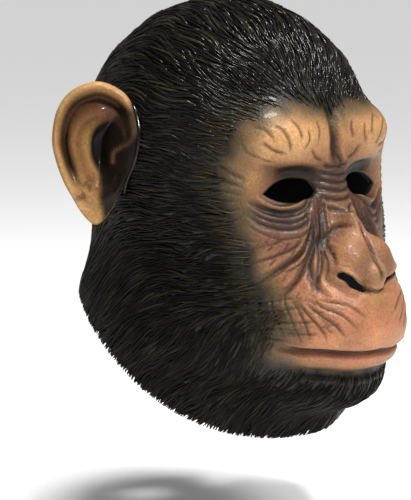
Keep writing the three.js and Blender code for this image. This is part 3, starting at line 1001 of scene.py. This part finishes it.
def cut_holes(bm, bare):
    """Takes out the faces in each outline and pulls the edge that is left onto it."""
    corners = list(bm.verts)
    number = {vert: n for n, vert in enumerate(corners)}
    for outline, edge, _ in HOLES:
        low, high = edge.min(axis=0) - 3, edge.max(axis=0) + 3
        near = np.flatnonzero(np.all((bare > low) & (bare < high), axis=1))
        if len(near) == 0:
            continue
        inner = set(near[inside_outline(bare[near][:, [0, 2]], outline)])
        faces = in_order(face for n in sorted(inner) for face in corners[n].link_faces)
        doomed = [f for f in faces if sum(number[v] in inner for v in f.verts) >= 2]
        rim = in_order(vert for face in doomed for vert in face.verts)
        bmesh.ops.delete(bm, geom=doomed, context="FACES")
        rim = [vert for vert in rim if vert.is_valid]
        places = bare[[number[vert] for vert in rim]]
        height, _ = relief(edge)
        lowered = (edge + form_normal(edge) * height[:, None]) * STRETCH
        nearest = ((places[:, None] - edge[None]) ** 2).sum(axis=2).argmin(axis=1)
        for vert, spot in zip(rim, nearest):
            vert.co = lowered[spot]


def turn_edges_in(bm):
    """Turns the open edges of the holes and of the neck in by the wall, not the join."""
    edges = []
    for edge in open_edges(bm):
        middle = (edge.verts[0].co + edge.verts[1].co) / 2 / MM
        at_rim = middle.z < rim_height(middle.y) + 3
        at_hole = middle.y < -80 and -190 < middle.z < -105 and abs(middle.x) < 60
        if at_rim or at_hole:
            edges.append(edge)
    made = bmesh.ops.extrude_edge_only(bm, edges=edges)["geom"]
    verts = [item for item in made if isinstance(item, bmesh.types.BMVert)]
    normals = form_normal(np.array([vert.co / MM for vert in verts]))
    for vert, normal in zip(verts, normals):
        vert.co -= Vector(normal) * LIP * MM


skin_piece("face_skin", FRONT_COLUMNS, FRONT_TURNS)
skin_piece("scalp_skin", BACK_COLUMNS, BACK_TURNS)

# %% [markdown]
# ## The inside of the shell
#
# Through the eye holes and from below, the bare back of the casting shows: dark, plain latex
# without wrinkles, because the slush leaves the inner wall smooth. Solidify would copy every
# wrinkle inwards and double the heavy skin, so the inner wall is a light sheet of its own,
# wrapped onto the same form one wall further in, and it looks inwards.

# %% The inner wall
INNER_COLUMNS, INNER_ROWS = 168, 120
bm, across, down = grid(INNER_COLUMNS, INNER_ROWS)
inner_turn = math.pi * (0.55 * (2 * across - 1) + 0.45 * (2 * across - 1) ** 3)
inner_station = np.interp(down, *STATIONS)
inner_points = skin_at(inner_turn, inner_station, WALL, INNER)
on_the_face = smoothstep(-inner_points[:, 1], 30, 60)
at_mouth = np.exp(-(((inner_points[:, 2] + MOUTH_DROP) / 9) ** 2)) * on_the_face
inner_points -= form_normal(inner_points, INNER) * (0.9 * on_the_face + 1.8 * at_mouth)[:, None]
put(bm, inner_points)
doomed = []
inner_verts = list(bm.verts)
for outline, _, roll in HOLES:
    middle = outline.mean(axis=0)
    grown = middle + (outline - middle) * (1 + 0.5 * roll / 7)
    front = inner_points[:, 1] < -60
    doomed += [inner_verts[n] for n in np.flatnonzero(front & inside_outline(inner_points[:, [0, 2]], grown))]
bmesh.ops.delete(bm, geom=in_order(doomed), context="VERTS")
bmesh.ops.remove_doubles(bm, verts=bm.verts, dist=2e-6)
bm.normal_update()
face_out(bm, -1)
finish_piece(bm, "inner_wall", inner_latex, "mask_shell")

# %% [markdown]
# ## Hair
#
# The hair is not hair: it is the same latex, modelled in the mould as thousands of thin
# overlapping strands that run away from the face. Particle hair would look like fur, and a
# bump would look flat at the outline. So every strand is a short tapered curve that lies half
# sunk in the skin with its tip lifted a little, which keeps the look of a casting.

# %% The way the hair lies
FACE_CENTRE = np.array([0.0, -95.0, -138.0])
hair_dice = np.random.default_rng(23)


def hair_way(points, out, sway):
    """Along the skin, combed back from the face and down the back of the head, in locks."""
    away = points - FACE_CENTRE
    away /= np.linalg.norm(away, axis=1, keepdims=True)
    away = away * (1, 1, 0.65) + (0, 0.75, 0)
    away[:, 2] -= 1.5 * smoothstep(points[:, 1], -25, 45) + 0.65 * smoothstep(-points[:, 2], 170, 225)
    away -= out * np.einsum("ij,ij->i", away, out)[:, None]
    away /= np.linalg.norm(away, axis=1, keepdims=True)
    angle = 0.38 * soft_noise(points, 30, 1) + 0.28 * soft_noise(points, 11, 2) + sway
    side = np.cross(out, away)
    return away * np.cos(angle)[:, None] + side * np.sin(angle)[:, None]


HAIR_ROWS, HAIR_COLUMNS = 120, 160


def bare_triangles():
    """Corners of triangles that cover the bare head, in millimetres, from a net of cast rays."""
    levels = np.interp(np.linspace(0, 1, HAIR_ROWS), *STATIONS)
    corners = []
    for turns in (FRONT_TURNS, BACK_TURNS):
        around = np.interp(np.linspace(0, 1, HAIR_COLUMNS), *turns)
        turn, level = np.meshgrid(around, levels)
        net = skin_at(turn.ravel(), level.ravel()).reshape(HAIR_ROWS, HAIR_COLUMNS, 3)
        a, b, c, d = net[:-1, :-1], net[:-1, 1:], net[1:, 1:], net[1:, :-1]
        corners += [np.stack(trio, axis=2).reshape(-1, 3, 3) for trio in ((a, b, c), (a, c, d))]
    return np.vstack(corners)


def scatter(count):
    """Random points spread evenly over the bare head."""
    a, b, c = bare_triangles().transpose(1, 0, 2)
    area = np.linalg.norm(np.cross(b - a, c - a), axis=1)
    pick = hair_dice.choice(len(area), count, p=area / area.sum())
    p, q = hair_dice.random((2, count, 1))
    fold = p + q > 1
    p, q = np.where(fold, 1 - p, p), np.where(fold, 1 - q, q)
    return a[pick] + (b - a)[pick] * p + (c - a)[pick] * q


def one_per_cell(points, size):
    """Keeps the first point in each cube of a lattice, so that none stand close together."""
    cells = np.floor(points / size).astype(int)
    _, first = np.unique(cells, axis=0, return_index=True)
    return points[np.sort(first)]


STRAND_POINTS = 6
CELL = 3.1
ROOTS_TRIED = 70000
roots = scatter(ROOTS_TRIED)
past = past_hairline(roots) + 3.0 * soft_noise(roots, 8, 9)
above_rim = roots[:, 2] > rim_height(roots[:, 1]) + 2
keep = (hair_dice.random(len(roots)) < smoothstep(past, -4, 5)) & above_rim
roots = one_per_cell(roots[keep], CELL)
print(len(roots), "strands")

# %% Strands as tapered curves
depth_in = past_hairline(roots)
grown = smoothstep(depth_in, -4, 26)
count = len(roots)
length = lerp(11, 27, grown) * hair_dice.uniform(0.75, 1.35, count)
thick = lerp(0.4, 0.84, grown) * hair_dice.uniform(0.7, 1.3, count)
sway = hair_dice.normal(0, 0.1, count)
lift = hair_dice.uniform(-0.1, 1.15, count) * lerp(0.4, 1, grown)
lift *= 1 + smoothstep(roots[:, 2], -110, -30) * (0.8 + 1.2 * soft_noise(roots, 9, 4))
TAPER = (0.3, 1.0, 1.0, 0.85, 0.55, 0.06)
RISE = (-1.3, 0.0, 0.2, 0.4, 0.6, 0.9)
OVERHANG = 3.5


def grow_paths(length):
    """Points along each strand: it follows the skin, and its tip lifts off a little."""
    place, out = roots, form_normal(roots)
    paths = np.empty((count, STRAND_POINTS, 3))
    for step in range(STRAND_POINTS):
        place = place - out * form_distance(place)[:, None]
        out = form_normal(place)
        paths[:, step] = place + out * (lift * min(1, step / 2) + thick * RISE[step])[:, None]
        place = place + hair_way(place, out, sway) * (length / (STRAND_POINTS - 1))[:, None]
    return paths


# A strand that would hang past the neck rim is shortened until only its tip does.
paths = grow_paths(length)
over = paths[:, :, 2] - rim_height(paths[:, :, 1])
past_rim = over[:, -1] < -OVERHANG
share = (over[:, 0] + OVERHANG) / (over[:, 0] - over[:, -1] + 1e-6)
length = np.where(past_rim, length * np.clip(share, 0.12, 1), length)
thick = np.where(past_rim, thick * np.clip(0.4 + share, 0.5, 1), thick)
paths = grow_paths(length)
radii = thick[:, None] * TAPER

patchy = 0.5 + 0.5 * hair_dice.random(count)
hair_colours = np.tile(COLOURS["hair"], (count, 1)) * (0.6 + 0.9 * hair_dice.random((count, 1)))
fade = lerp(3, 10, smoothstep(np.abs(roots[:, 0]), 42, 66))
from_face = depth_in + 0.7 * (roots[:, 1] + 70).clip(0) * (np.abs(roots[:, 0]) > 50)
hair_colours = mixed(hair_colours, "olive", (1 - smoothstep(from_face, -4, fade)) * patchy * 0.65)
# Some strands are lighter olive grey: partly dry brushing, partly painted highlights where their crests catch
# the light.
brushed_and_highlit = (hair_dice.random(count) < 0.3) * hair_dice.uniform(0.02, 0.15, count)
hair_colours = mixed(hair_colours, "brushed_and_highlit", brushed_and_highlit)


def tubes(name, lines, widths, rounding, material):
    """A mesh of tubes along lines in millimetres, each with its own thickness at every point."""
    curve = bpy.data.curves.new(name, "CURVE")
    curve.dimensions = "3D"
    curve.bevel_depth = MM
    curve.bevel_resolution = rounding
    for line, width in zip(lines, widths):
        spline = curve.splines.new("POLY")
        spline.points.add(len(line) - 1)
        spline.points.foreach_set("co", np.hstack([line * STRETCH, np.ones((len(line), 1))]).ravel())
        spline.points.foreach_set("radius", width)
    holder = bpy.data.objects.new(name + "_curve", curve)
    bpy.context.scene.collection.objects.link(holder)
    graph = bpy.context.evaluated_depsgraph_get()
    mesh = bpy.data.meshes.new_from_object(holder.evaluated_get(graph))
    bpy.data.objects.remove(holder)
    mesh.name = name
    mesh.shade_smooth()
    mesh.materials.clear()
    mesh.materials.append(material)
    return mesh


def strands_piece(name, chosen):
    """The chosen strands as one piece of square tubes in their own colours."""
    mesh = tubes(name, paths[chosen], radii[chosen], 0, hair_latex)
    each = len(mesh.vertices) // int(chosen.sum())
    colours = np.ones((len(mesh.vertices), 4))
    colours[:, :3] = np.repeat(hair_colours[chosen], each, axis=0)
    mesh.attributes.new("paint", "FLOAT_COLOR", "POINT").data.foreach_set("color", colours.ravel())
    piece = bpy.data.objects.new(name, mesh)
    bpy.context.scene.collection.objects.link(piece)
    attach(piece, "root")
    print(name, int(chosen.sum()), "strands,", len(mesh.polygons), "faces,", each, "points each")


left_over = np.ones(count, bool)
for name, region in (
    ("hair_crown", roots[:, 2] > -62),
    ("beard", (roots[:, 2] < -205) & (roots[:, 1] < 10)),
    ("hair_back", roots[:, 1] > 40),
    ("hair_right", roots[:, 0] < 0),
    ("hair_left", roots[:, 0] >= 0),
):
    strands_piece(name, region & left_over)
    left_over &= ~region

# %% [markdown]
# ## Ears
#
# A chimpanzee's ear is a thin upright blade with a rolled rim, a groove inside the rim, a
# broad fold and a deep bowl. It could be sculpted, but its rows from the bowl to the rim and
# round the back are simple curves, so it is a grid whose rows follow them. The same grid is
# mirrored for the other side.

# %% The ear's blade
EAR_HALF = 47.5
EAR_REACH = 44.0
EAR_THICKNESS = 4.0
EAR_SWEEP = 0.7
EAR_PLACE = np.array([HALF_WIDTH - 1, 5.0, -96.0])
EAR_FLOOR = 2.5
EAR_RIM = 8.2
BOWL_MIDDLE = np.array([0.28, 0.0])
EAR_EDGE = [
    (1, 0.2), (0.92, 0.56), (0.71, 0.82), (0.36, 0.95), (0.06, 0.88), (-0.16, 0.7), (-0.28, 0.36),
    (-0.24, -0.08), (-0.05, -0.53), (0.14, -0.86), (0.34, -1.04), (0.53, -0.92), (0.7, -0.67),
    (0.85, -0.41), (0.97, -0.07),
]
# Reach from the bowl to the rim and height of the fold, the groove and the rolled rim.
EAR_PROFILE = [
    (0, 0), (0.22, 0), (0.4, 0.2), (0.5, 1.0), (0.6, 0.75), (0.69, -0.6), (0.755, -1.6), (0.81, -1.3),
    (0.865, 0.3), (0.91, 1.25), (0.955, 1.35), (1, 0.6),
]
EAR_COLUMNS, EAR_FRONT_ROWS, EAR_BACK_ROWS = 132, 72, 22


def closed_line(stops, share):
    """A closed curve through the stops at shares of its way round."""
    stops = np.asarray(stops, float)
    place = (share % 1) * len(stops)
    piece = np.floor(place).astype(int)
    t = (place - piece)[:, None]
    a, b, c, d = (stops[(piece + n) % len(stops)] for n in (-1, 0, 1, 2))
    return 0.5 * (2 * b + (c - a) * t + (2 * a - 5 * b + 4 * c - d) * t**2 + (3 * b - a - 3 * c + d) * t**3)


def spot_gap(blade, line):
    """How far points of the blade are from a line drawn on it, both in shares of its size."""
    apart = (blade[:, None, :] - line[None]) * (EAR_REACH, EAR_HALF)
    return np.sqrt((apart**2).sum(axis=2).min(axis=1))


ROOT_FOLD = smooth_line([(-0.3, 0.3), (-0.19, 0.14), (-0.04, 0.05), (0.08, -0.04), (0.1, -0.18)], 30)
LOWER_BULGE = smooth_line([(-0.06, -0.42), (0.06, -0.56), (0.2, -0.66)], 12)
OUT = np.array([math.cos(EAR_SWEEP), math.sin(EAR_SWEEP), 0])
FACING = np.array([math.sin(EAR_SWEEP), -math.cos(EAR_SWEEP), 0])


def in_place(blade, height):
    """Points of the left ear's blade, in shares, at a height over it, in the head's place."""
    spots = EAR_PLACE + blade[:, :1] * EAR_REACH * OUT + height[:, None] * FACING
    spots[:, 2] += blade[:, 1] * EAR_HALF
    return spots


def band(values, middle, width):
    """1 in the middle of a band, fading out on both sides."""
    return np.exp(-(((values - middle) / width) ** 2))


def ear_piece(side, name, node):
    """The ear on one side: a grid bent into the blade, its rim and its back, then painted."""
    rows = EAR_FRONT_ROWS + EAR_BACK_ROWS
    bm, across, down = grid(EAR_COLUMNS, rows)
    row = down * rows
    front = row <= EAR_FRONT_ROWS + 0.5
    profile = smooth_line(EAR_PROFILE, 400)
    behind_share = np.clip((row - EAR_FRONT_ROWS - 2) / (EAR_BACK_ROWS - 2), 0, 1)
    reach = np.where(front, row / EAR_FRONT_ROWS, 1 - behind_share)
    edge = closed_line(EAR_EDGE, across)
    roll = np.interp(reach, profile[:, 0], profile[:, 1])
    above_lobe = smoothstep(edge[:, 1], -0.84, -0.24)
    behind_front = smoothstep(edge[:, 0], -0.12, 0.3)
    bowl = 1 - smoothstep(reach, 0.12, lerp(0.78, 0.56, behind_front))
    roll = roll * lerp(1, behind_front, 1 - smoothstep(reach, 0.64, 0.74))
    blade = BOWL_MIDDLE + (edge - BOWL_MIDDLE) * reach[:, None]
    root_fold = np.exp(-((spot_gap(blade, ROOT_FOLD) / 1.5) ** 2))
    bulge = np.exp(-((spot_gap(blade, LOWER_BULGE) / 4.0) ** 2))
    height = 7 * reach**2 - 11 * bowl + 2.6 * above_lobe * roll
    height += 5.5 * root_fold + 4.5 * bulge + 0.5 * soft_noise(in_place(blade, height), 7, 6)
    behind = 7 * reach**2 - 13 * bowl - EAR_THICKNESS
    behind -= 2.2 * band(reach, 0.77, 0.13) + 1.5 * band(reach, 0.3, 0.12)
    rounding = np.clip((row - EAR_FRONT_ROWS) / 2, 0, 1)
    height = np.where(front, height, np.where(rounding < 1, lerp(EAR_RIM, behind, rounding), behind))
    swell = 1 + 0.02 * np.sin(math.pi * rounding) * (rounding < 1)
    spots = in_place(BOWL_MIDDLE + (blade - BOWL_MIDDLE) * swell[:, None], height)
    for _ in range(5):
        short = EAR_FLOOR - form_distance(spots)
        short = np.where(front, 0.5 * (short + np.sqrt(short**2 + 0.5)), 0)
        spots = spots + 1.5 * short[:, None] * FACING
    sunk = form_distance(spots) < -1.4
    spots[:, 0] *= side
    put(bm, spots)

    mottle = plain_noise(spots, (9, 4), 8)
    colours = np.tile(COLOURS["gold"], (len(spots), 1)) * (1 + 0.14 * mottle)[:, None]
    colours = mixed(colours, "ear", band(reach, 0.52, 0.15) * front)
    # Painted shade: the groove inside the rolled rim is darkened with the wash, and the upper fold under the
    # rim with umber.
    groove = np.exp(-(((reach - 0.765) / 0.1) ** 4)) * above_lobe
    mottled_groove = band(reach, 0.8, 0.09) * (1 - above_lobe) * (0.5 + 0.5 * mottle)
    colours = mixed(colours, "wash_and_shade", np.where(front, 0.96 * groove + 0.6 * mottled_groove, 0))
    upper_shade = band(reach, 0.66, 0.17) * smoothstep(blade[:, 1], 0.1, 0.6)
    colours = mixed(colours, "umber", 0.92 * upper_shade * front)
    above_tip = smoothstep(blade[:, 1], -0.85, -0.7) * (1 - smoothstep(blade[:, 1], -0.5, -0.25))
    smears = smoothstep(plain_noise(spots, (5, 2.2), 12), 0.05, 0.5) * above_tip
    colours = mixed(colours, "umber", 0.7 * smears * front * smoothstep(reach, 0.25, 0.4))
    hollow = np.hypot((blade[:, 0] - 0.17) / 0.3, (blade[:, 1] - 0.02) / 0.4)
    colours = mixed(colours, "black", np.where(front, 1 - smoothstep(hollow, 0.82, 1.12), 0))
    front_line = np.interp(blade[:, 1], (-0.9, -0.2, 0.0, 0.12, 0.3), (0.24, 0.3, 0.1, -0.1, -0.4))
    below_fold = 1 - smoothstep(blade[:, 0] - front_line, -0.05, 0.08)
    colours = mixed(colours, "black", 0.97 * below_fold * front)
    colours = mixed(colours, "gold", 0.55 * root_fold * front)
    near_head = 1 - smoothstep(form_distance(np.abs(spots) * (1, 0, 0) + spots * (0, 1, 1)), 3, 12)
    at_root = smoothstep(blade[:, 1], -0.95, -0.7) * (1 - smoothstep(blade[:, 1], -0.35, -0.1))
    rooted = near_head * at_root + near_head**4 * smoothstep(blade[:, 1], -0.3, 0.2) * 0.7
    colours = mixed(colours, "black", np.where(front, 1.15 * rooted, 0))
    colours = mixed(colours, "black", 0.9 * bulge * front)
    colours = mixed(colours, "umber", np.where(front, 0, 1 - smoothstep(reach, 0.7, 1.0)))
    paint_points(bm, colours)

    hidden = [vert for vert, is_sunk in zip(bm.verts, sunk) if is_sunk]
    bmesh.ops.delete(bm, geom=hidden, context="VERTS")
    bmesh.ops.remove_doubles(bm, verts=bm.verts, dist=2e-6)
    bm.normal_update()
    tops = [face for face in bm.faces if face.calc_center_median().z > -0.056]
    outward = sum((f.calc_center_median() - Vector((side * 0.105, 0.015, -0.1))).dot(f.normal) for f in tops)
    if outward < 0:
        bmesh.ops.reverse_faces(bm, faces=bm.faces)
    finish_piece(bm, name, ear_latex, node)


ear_piece(-1, "ear_skin_right", "ear_right")
ear_piece(1, "ear_skin_left", "ear_left")

# %% [markdown]
# A bead of black glue closes the joint in front of each ear and shines more than the latex.
# It is a lumpy curve laid along the ear's root.

# %% Glue


def glue_piece(side, name):
    """The lumpy bead of glue on one side, thin at both ends."""
    share = np.linspace(0.3, 0.56, 46)
    edge = closed_line(EAR_EDGE, share)
    line = in_place(edge, np.full(len(share), 8.0))
    for _ in range(5):
        line = line + 1.5 * (EAR_FLOOR - form_distance(line)).clip(0)[:, None] * FACING
    for _ in range(3):
        line = line - form_normal(line) * (form_distance(line) - 1.0)[:, None]
    lumps = 0.5 + 0.5 * soft_noise(line, 6, 3)
    ends = np.clip(np.minimum(share - share[0], share[-1] - share) / 0.03, 0.05, 1)
    line[:, 0] *= side
    mesh = tubes(name, [line], [(1.3 + 1.5 * lumps) * ends], 3, glue)
    piece = bpy.data.objects.new(name, mesh)
    bpy.context.scene.collection.objects.link(piece)
    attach(piece, "root")
    print(name, len(mesh.polygons), "faces")


glue_piece(-1, "glue_right")
glue_piece(1, "glue_left")

# %% Lights, floor and camera
FLOOR_HALF, FLOOR_DROP = 12, 0.08
floor_mesh = bmesh.new()
bmesh.ops.create_grid(floor_mesh, x_segments=1, y_segments=1, size=FLOOR_HALF)
for vert in floor_mesh.verts:
    vert.co.z = shell_low[2] - FLOOR_DROP
mesh = bpy.data.meshes.new("floor")
floor_mesh.to_mesh(mesh)
floor = bpy.data.objects.new("floor", mesh)
mesh.materials.append(plain("pale floor", (0.93, 0.93, 0.93), 0.9))
bpy.context.scene.collection.objects.link(floor)
floor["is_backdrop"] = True

CAMERA_TURN, CAMERA_RISE, CAMERA_AWAY = math.radians(-40), math.radians(8), 1.6
PIXELS_PER_MM, SENSOR, PICTURE = 1.45, 36, 500
back = Vector((
    math.sin(CAMERA_TURN) * math.cos(CAMERA_RISE),
    -math.cos(CAMERA_TURN) * math.cos(CAMERA_RISE),
    math.sin(CAMERA_RISE),
))
right = Vector((math.cos(CAMERA_TURN), math.sin(CAMERA_TURN), 0))
up = back.cross(right)
target = right * -0.0148 + up * -0.1703
camera = bpy.data.objects.new("camera", bpy.data.cameras.new("camera"))
camera.location = target + back * CAMERA_AWAY
camera.rotation_mode = "QUATERNION"
camera.rotation_quaternion = (-back).to_track_quat("-Z", "Y")
camera.data.lens = PIXELS_PER_MM * CAMERA_AWAY * 1000 * SENSOR / PICTURE
bpy.context.scene.collection.objects.link(camera)
bpy.context.scene.camera = camera


def area_light(name, place, size, power, aim):
    """A square lamp at a place, turned to what it lights."""
    lamp = bpy.data.lights.new(name, "AREA")
    lamp.shape = "SQUARE"
    lamp.size = size
    lamp.energy = power
    light = bpy.data.objects.new(name, lamp)
    light.location = place
    light.rotation_mode = "QUATERNION"
    light.rotation_quaternion = (Vector(aim) - Vector(place)).to_track_quat("-Z", "Y")
    bpy.context.scene.collection.objects.link(light)


HEAD_MIDDLE = (0, -0.03, -0.14)
sun = bpy.data.lights.new("key", "SUN")
sun.energy = 2.0
sun.angle = math.radians(24)
key = bpy.data.objects.new("key", sun)
key.rotation_mode = "QUATERNION"
key.rotation_quaternion = (-(back * 0.75 + right * 0.62 + up * 0.85)).to_track_quat("-Z", "Y")
bpy.context.scene.collection.objects.link(key)
# Each lamp: how far it stands towards the camera, to its right and up, then its width and power.
LAMPS = {
    "glint": (1.0, 0.5, 1.0, 0.1, 17),
    "top": (0.35, 0.05, 1.4, 0.3, 27),
    "fill": (1.2, -1.4, 0.3, 1.0, 2.5),
}
for name, (near, aside, high, size, power) in LAMPS.items():
    area_light(name, target + back * near + right * aside + up * high, size, power, HEAD_MIDDLE)
print(len(LAMPS), "lamps and a sun, and a camera", CAMERA_AWAY, "m away")
world = bpy.data.worlds.new("studio")
world.use_nodes = True
world.node_tree.nodes["Background"].inputs["Color"].default_value = (1, 1, 1, 1)
world.node_tree.nodes["Background"].inputs["Strength"].default_value = 0.25
bpy.context.scene.world = world
bpy.context.scene.view_settings.view_transform = "Standard"

# %% Finish
low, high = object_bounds()
